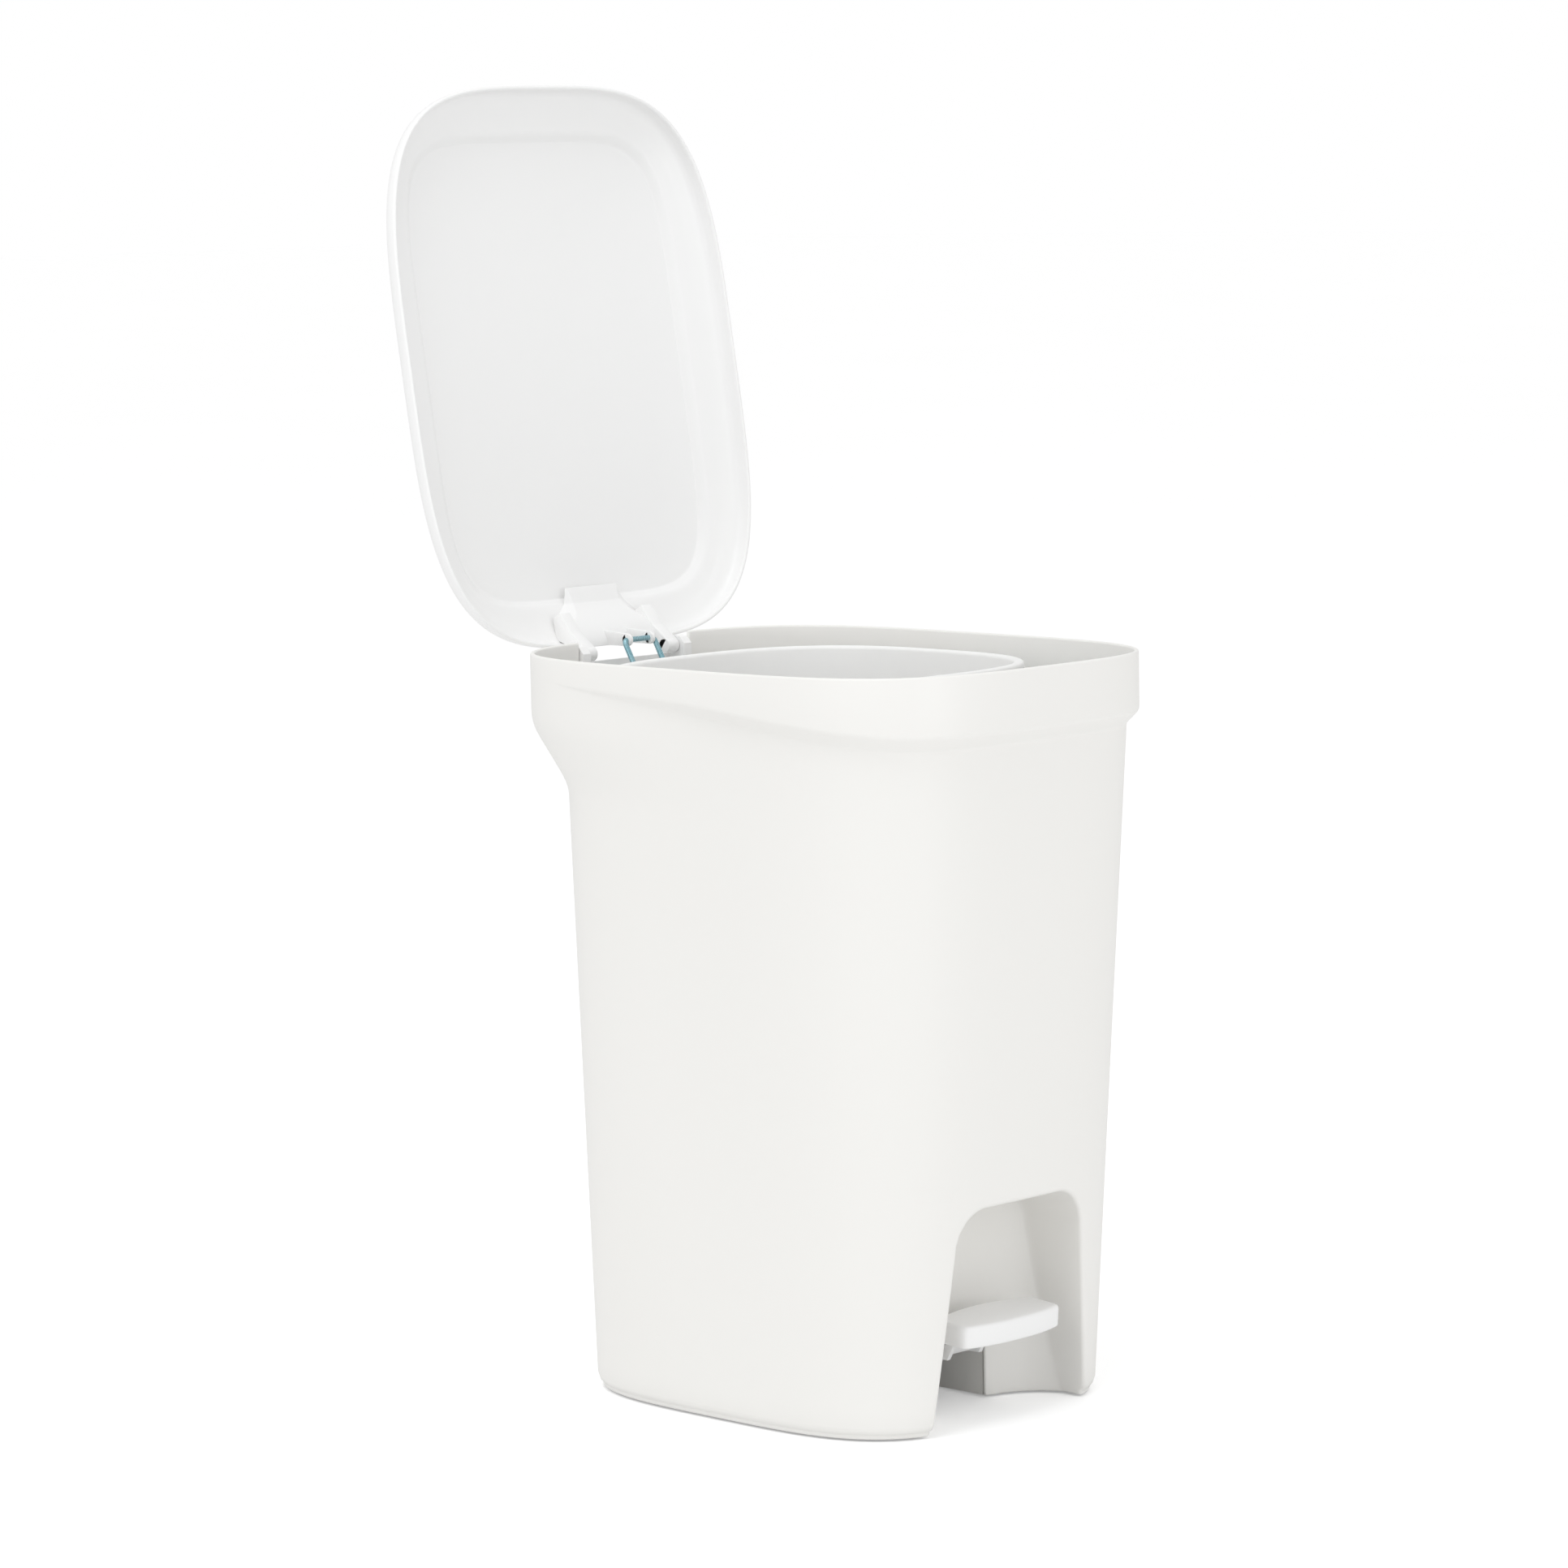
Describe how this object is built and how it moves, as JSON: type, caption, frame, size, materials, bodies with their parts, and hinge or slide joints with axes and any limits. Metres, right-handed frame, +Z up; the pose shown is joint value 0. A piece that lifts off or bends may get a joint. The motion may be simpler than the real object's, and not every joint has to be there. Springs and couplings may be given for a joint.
{
  "type": "pedal trash can",
  "caption": "Free-standing pedal bin: drafted rounded body, hinged lid, lift-out bucket with a bail handle, and a foot lever that raises the lid through a bent wire.",
  "frame": {"origin": "on the floor, under the middle of the base, in the symmetry plane", "axes": "+Z up, -Y towards the foot lever and +Y towards the hinge, X across the width"},
  "size_m": [0.251, 0.3833, 0.7033],
  "materials": {
    "body_plastic": "moulded, soft gloss, warm white",
    "lid_plastic": "moulded, soft gloss, cool white",
    "bucket_plastic": "moulded, satin",
    "wire_steel": "drawn wire, blue zinc plating",
    "foot_rubber": "moulded, matte grey"
  },
  "bodies": {
    "root": {"outer_body": "body_plastic", "hinge_block": "lid_plastic", "hinge_pin_left": "wire_steel", "hinge_pin_right": "wire_steel", "pedal_pin": "wire_steel", "pivot_bridge": "body_plastic", "bridge_screws": "wire_steel", "inner_bucket": "bucket_plastic", "foot_front_left": "foot_rubber", "foot_front_right": "foot_rubber", "foot_rear_left": "foot_rubber", "foot_rear_right": "foot_rubber"},
    "lid": {"lid": "lid_plastic"},
    "wire": {"lift_wire": "wire_steel"},
    "pedal": {"pedal": "lid_plastic"},
    "bail": {"bail": "wire_steel", "bail_grip": "bucket_plastic"}
  },
  "joints": [
    {"name": "lid_hinge", "type": "hinge", "parent": "root", "child": "lid", "pos_m": [0, 0.1545, 0.3925], "axis": [1, 0, 0], "range_deg": [0, 99.4]},
    {"name": "wire_hinge", "type": "hinge", "parent": "lid", "child": "wire", "pos_m": [0, 0.14623, 0.39896], "axis": [1, 0, 0], "range_deg": [-99.4, 0]},
    {"name": "pedal_pivot", "type": "hinge", "parent": "root", "child": "pedal", "pos_m": [0, 0.015, 0.034], "axis": [1, 0, 0], "range_deg": [-9.4, 0]},
    {"name": "bail_hinge", "type": "hinge", "parent": "root", "child": "bail", "pos_m": [0, 0.011, 0.372], "axis": [-1, 0, 0], "range_deg": [0, 180]}
  ],
  "couplings": [
    {"joint": "wire_hinge", "follows": "lid_hinge", "ratio": -1},
    {"joint": "pedal_pivot", "follows": "lid_hinge", "ratio": -0.094615}
  ]
}
